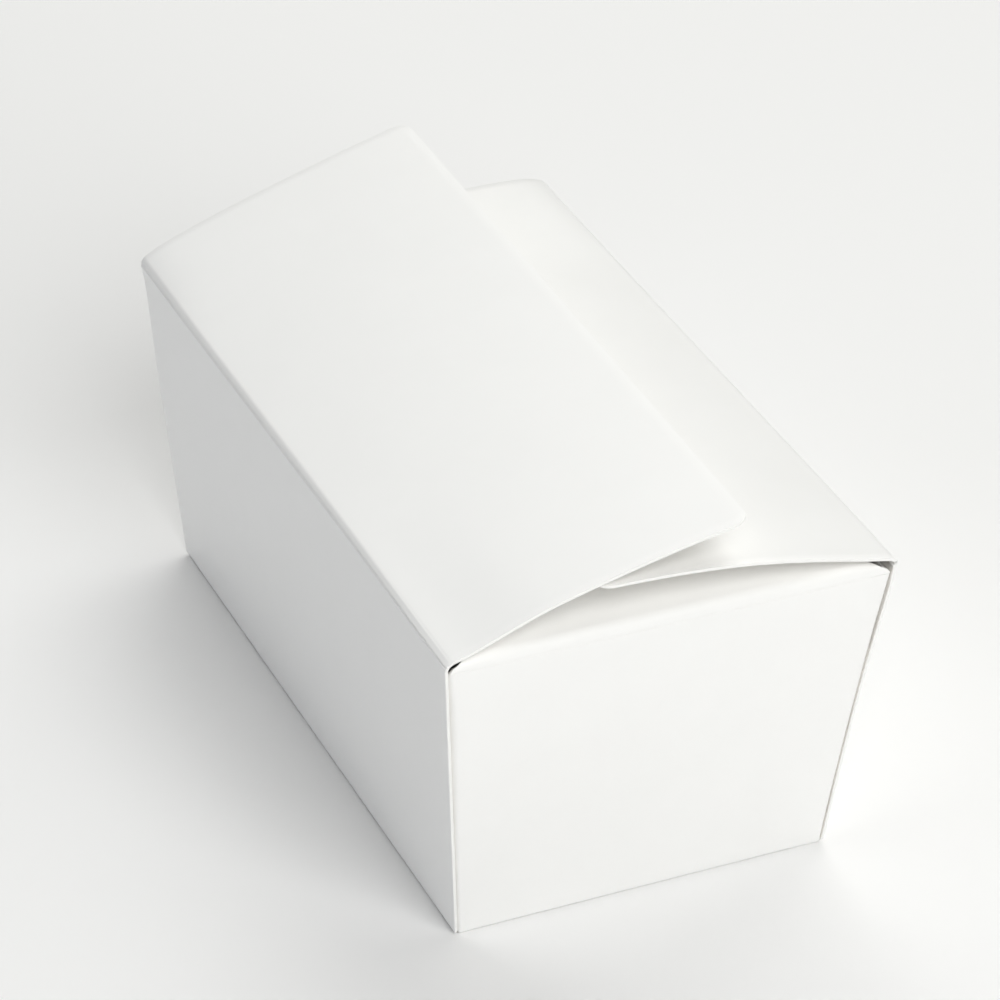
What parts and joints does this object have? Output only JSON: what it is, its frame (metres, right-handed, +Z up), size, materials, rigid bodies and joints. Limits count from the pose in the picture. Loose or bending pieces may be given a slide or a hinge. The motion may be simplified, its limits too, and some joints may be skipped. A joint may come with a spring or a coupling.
{
  "type": "ballotin",
  "caption": "Folding-board chocolate box with walls that lean outwards, two overlapping hinged lids above tapered hinged end flaps, and glued corner tabs.",
  "frame": {"origin": "centre of the underside of the base panel, on the surface that the box stands on", "axes": "+X along the box towards its right end wall, +Y across it towards the back wall, +Z up"},
  "size_m": [0.1476, 0.0866, 0.084],
  "materials": {
    "white_board": "satin clay-coated white folding board",
    "tab_board": "matt uncoated inner side of the board"
  },
  "bodies": {
    "carton": {"base_panel": "white_board", "front_wall": "white_board", "back_wall": "white_board", "right_end_wall": "white_board", "left_end_wall": "white_board", "front_right_tab": "tab_board", "back_right_tab": "tab_board", "front_left_tab": "tab_board", "back_left_tab": "tab_board"},
    "front_lid": {"front_lid": "white_board"},
    "back_lid": {"back_lid": "white_board"},
    "right_end_flap": {"right_end_flap": "white_board"},
    "left_end_flap": {"left_end_flap": "white_board"}
  },
  "joints": [
    {"name": "front_lid_hinge", "type": "hinge", "parent": "carton", "child": "front_lid", "pos_m": [0, -0.0434, 0.065], "axis": [1, 0, 0], "range_deg": [0, 240]},
    {"name": "back_lid_hinge", "type": "hinge", "parent": "carton", "child": "back_lid", "pos_m": [0, 0.0434, 0.065], "axis": [-1, 0, 0], "range_deg": [0, 130]},
    {"name": "right_end_flap_hinge", "type": "hinge", "parent": "carton", "child": "right_end_flap", "pos_m": [0.07367, 0, 0.06375], "axis": [0, 1, 0], "range_deg": [0, 87]},
    {"name": "left_end_flap_hinge", "type": "hinge", "parent": "carton", "child": "left_end_flap", "pos_m": [-0.07367, 0, 0.06375], "axis": [0, -1, 0], "range_deg": [0, 87]}
  ],
  "couplings": [
    {"joint": "back_lid_hinge", "follows": "front_lid_hinge", "ratio": 0.54},
    {"joint": "right_end_flap_hinge", "follows": "front_lid_hinge", "ratio": 0.36},
    {"joint": "left_end_flap_hinge", "follows": "front_lid_hinge", "ratio": 0.36}
  ]
}
